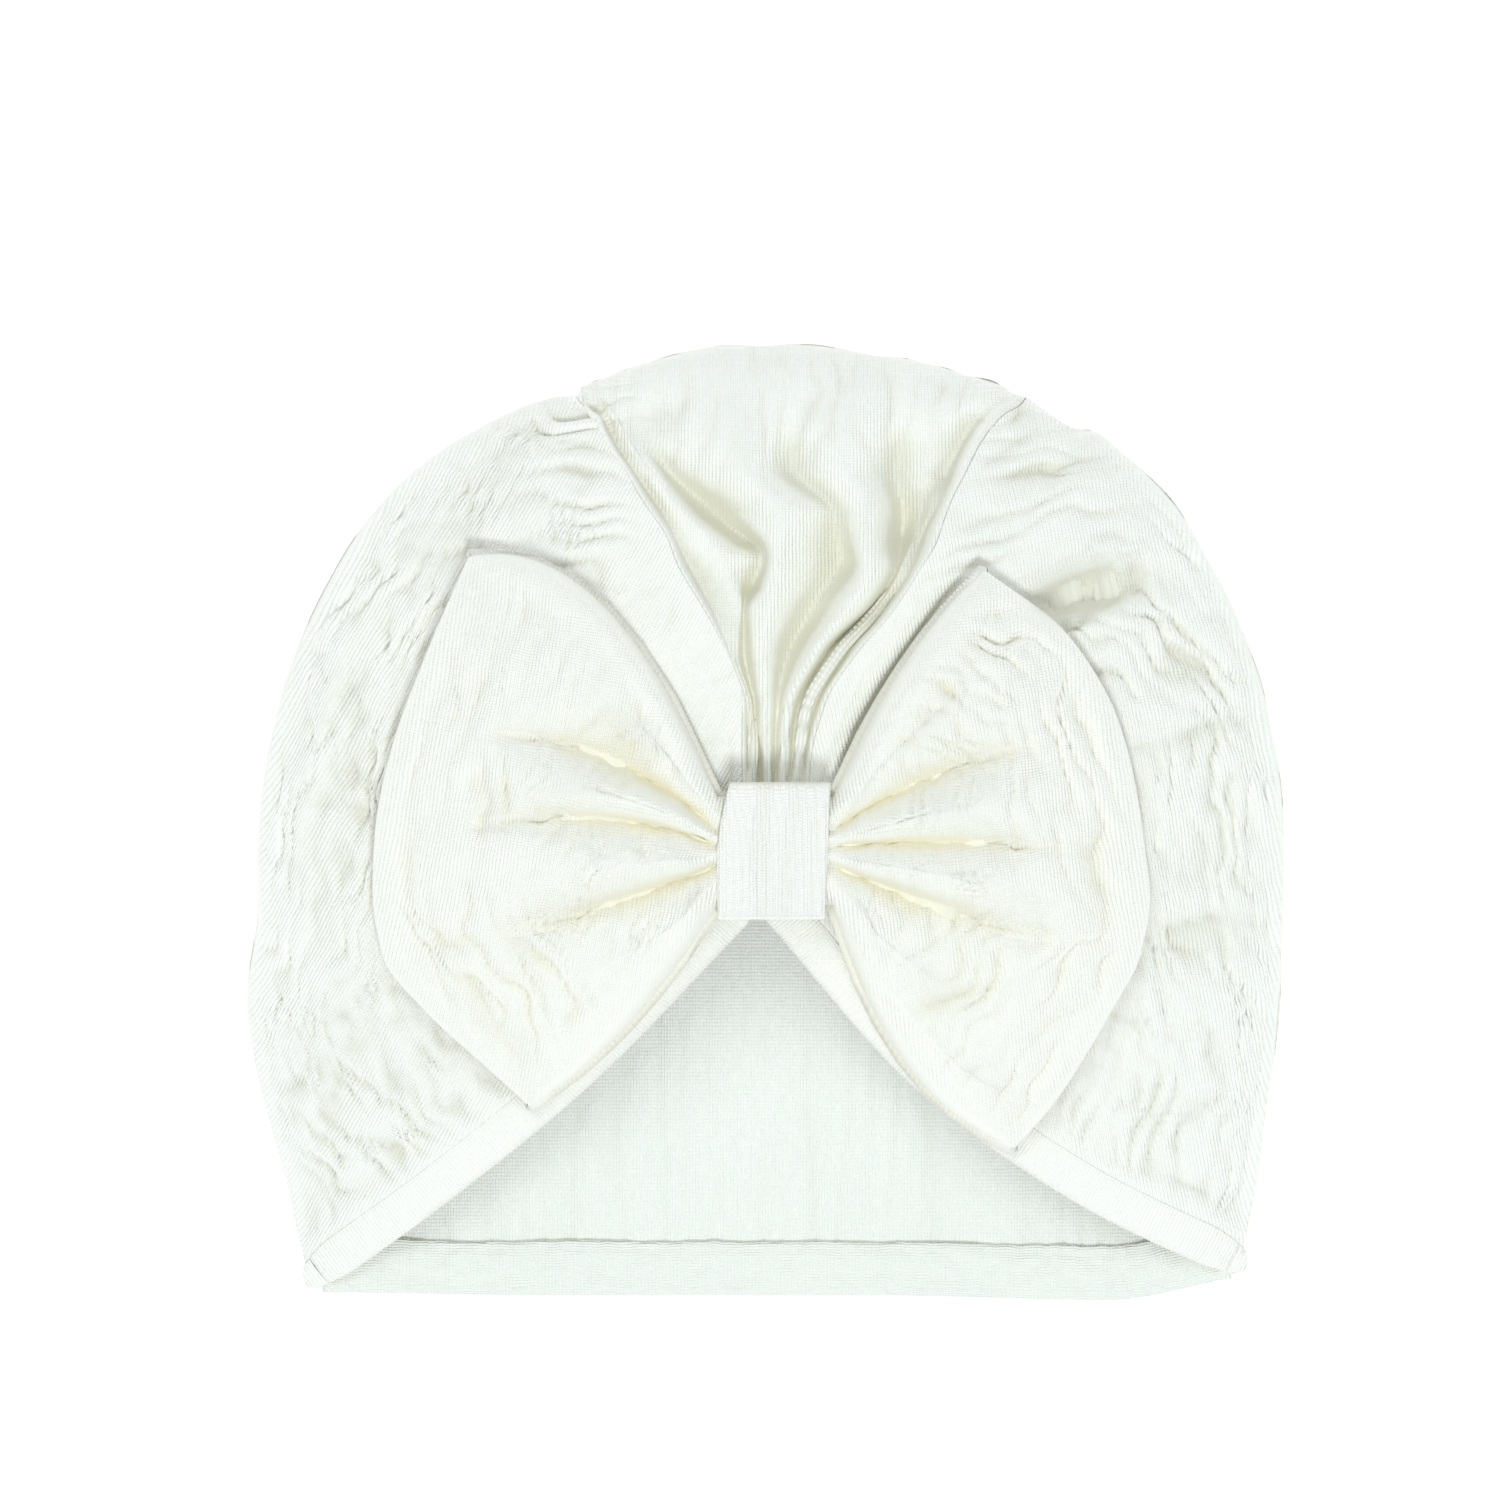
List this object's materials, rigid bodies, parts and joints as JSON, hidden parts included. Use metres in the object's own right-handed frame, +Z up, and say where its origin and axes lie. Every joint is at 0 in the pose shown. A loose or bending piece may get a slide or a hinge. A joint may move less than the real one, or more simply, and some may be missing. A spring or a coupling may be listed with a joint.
{
  "type": "baby turban hat",
  "caption": "Soft crinkled jersey baby cap with a pleated front gathered to a wide bow and knot band, lying on its back with the head opening free.",
  "frame": {"origin": "middle of the hat's footprint, on the surface that its back wall lies on", "axes": "+X across the hat to its left side as worn, +Y from the head opening towards the top of the crown, +Z up from the surface through the bow"},
  "size_m": [0.1919, 0.177, 0.0405],
  "materials": {
    "crown": "matte crinkled white jersey knit",
    "front_hem": "matte rolled jersey edge with a line of stitching",
    "back_hem": "matte turned jersey edge",
    "bow": "matte crinkled white jersey knit",
    "knot_band": "matte fine ribbed jersey knit"
  },
  "bodies": {
    "root": {"crown": "crown", "front_hem": "front_hem", "back_hem": "back_hem", "bow": "bow", "knot_band": "knot_band"}
  },
  "joints": []
}
